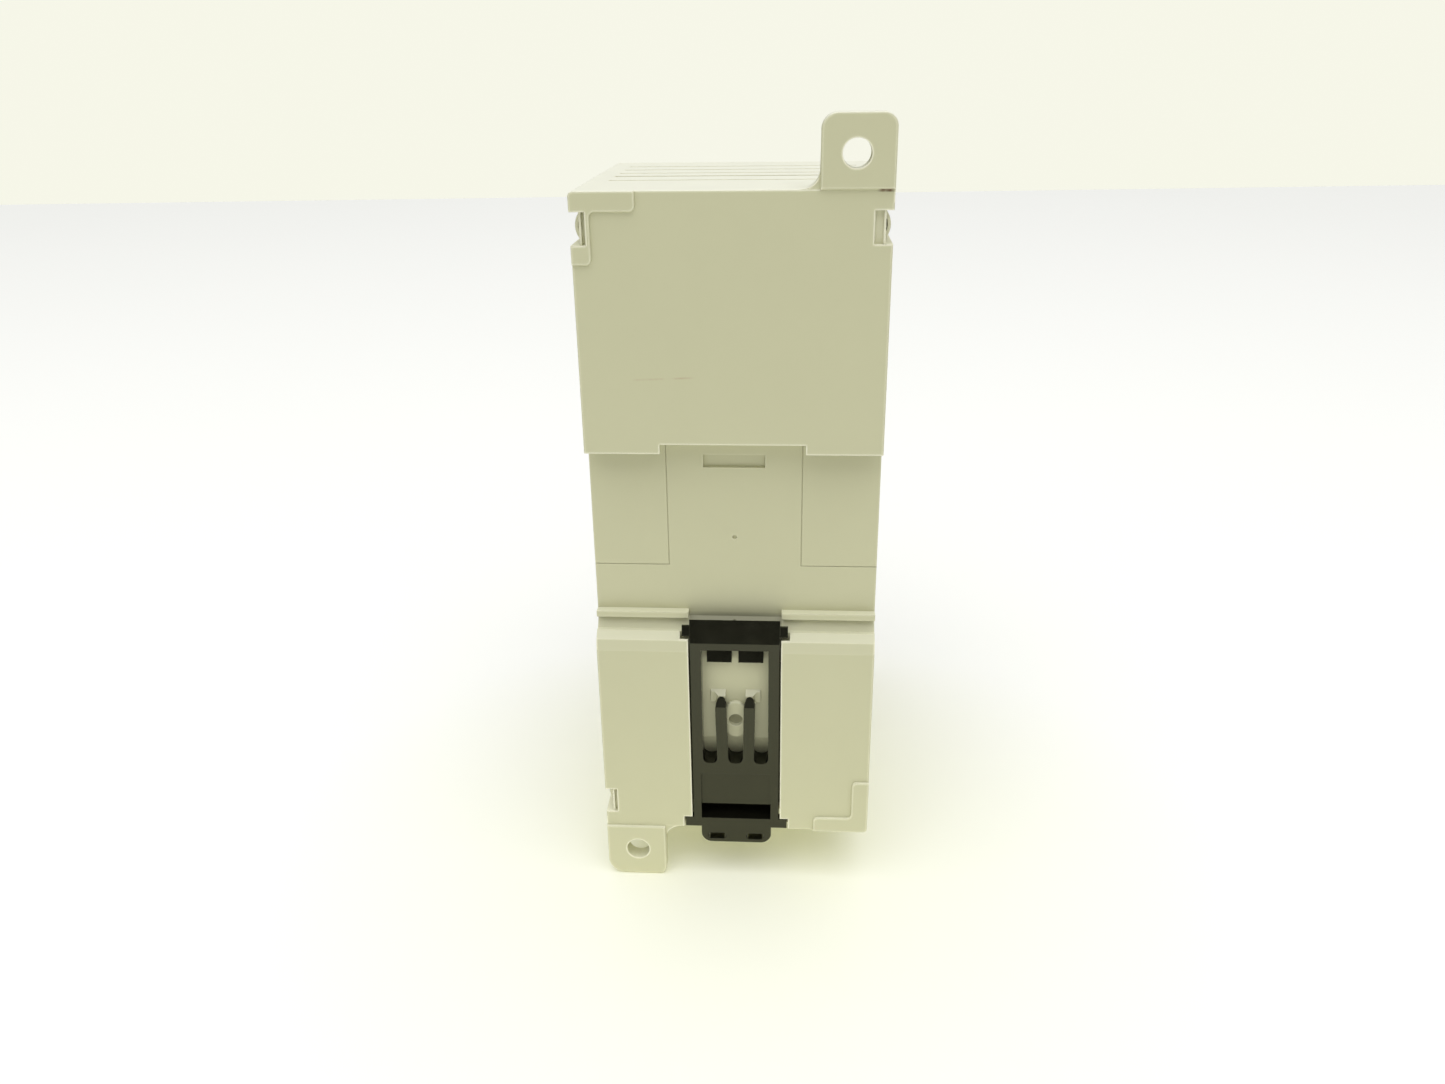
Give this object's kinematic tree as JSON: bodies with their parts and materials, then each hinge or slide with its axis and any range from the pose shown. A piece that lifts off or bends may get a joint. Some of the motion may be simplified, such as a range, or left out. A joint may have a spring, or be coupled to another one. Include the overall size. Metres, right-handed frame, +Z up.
{
  "type": "plc module",
  "caption": "Slim input/output module for a programmable controller, with rail latch, corner lugs and hinged terminal door",
  "frame": {"origin": "midway between the two panel screw holes, on the plane of the corner pads that touch the panel", "axes": "+Y points out of the rear towards the panel, -Y out of the front door, +Z up along the tall side, +X to the right seen from the front"},
  "size_m": [0.05, 0.087, 0.14],
  "materials": {
    "housing_grey": "fine satin moulded plastic",
    "latch_black": "semi-gloss moulded nylon",
    "label_white": "printed-stock matt film, left blank",
    "label_silver": "satin silver film, left blank",
    "terminal_black": "fine matt moulded plastic",
    "guard_black": "satin moulded plastic",
    "zinc_steel": "zinc plated",
    "tinned_brass": "tinned",
    "board_green": "solder mask over glass-epoxy",
    "connector_black": "matt moulded plastic",
    "lamp_red": "clear lens",
    "clear_plastic": "polished clear plastic",
    "smoked_window": "polished smoked plastic",
    "ferrite_dark": "ground ferrite and taped winding",
    "can_aluminium": "drawn can",
    "chip_black": "moulded epoxy",
    "crystal_can": "drawn can",
    "chip_white": "moulded epoxy",
    "relay_blue": "moulded case",
    "gold_contact": "gold flashed",
    "lever_grey": "satin moulded plastic"
  },
  "bodies": {
    "case": {"rear_housing": "housing_grey", "front_cover": "housing_grey", "side_label": "label_silver", "terminal_block": "terminal_black", "finger_guard": "guard_black", "terminal_screws": "zinc_steel", "block_retaining_screws": "zinc_steel", "wire_clamps": "zinc_steel", "terminal_contacts": "tinned_brass", "main_board": "board_green", "io_board": "board_green", "led_board": "board_green", "board_links": "connector_black", "leds": "lamp_red", "light_guide": "clear_plastic", "status_window": "smoked_window", "terminal_header": "connector_black", "header_pins": "tinned_brass", "isolation_transformer": "ferrite_dark", "capacitors": "can_aluminium", "controller_chip": "chip_black", "crystal": "crystal_can", "optocouplers": "chip_white", "relays": "relay_blue", "fixed_bus_connector": "connector_black", "fixed_bus_contacts": "gold_contact"},
    "latch": {"din_latch": "latch_black"},
    "door": {"terminal_door": "housing_grey", "door_label": "label_white"},
    "lever": {"bus_lever": "lever_grey", "moving_bus_connector": "connector_black", "moving_bus_contacts": "gold_contact"}
  },
  "joints": [
    {"name": "latch_slide", "type": "slide", "parent": "case", "child": "latch", "axis": [0, 0, -1], "range_m": [0, 0.004], "stiffness_N_per_m": 1500},
    {"name": "door_hinge", "type": "hinge", "parent": "case", "child": "door", "pos_m": [0.0212, -0.086, -0.0117], "axis": [0, 0, 1], "range_deg": [0, 100]},
    {"name": "lever_slide", "type": "slide", "parent": "case", "child": "lever", "axis": [-1, 0, 0], "range_m": [0, 0.007]}
  ]
}
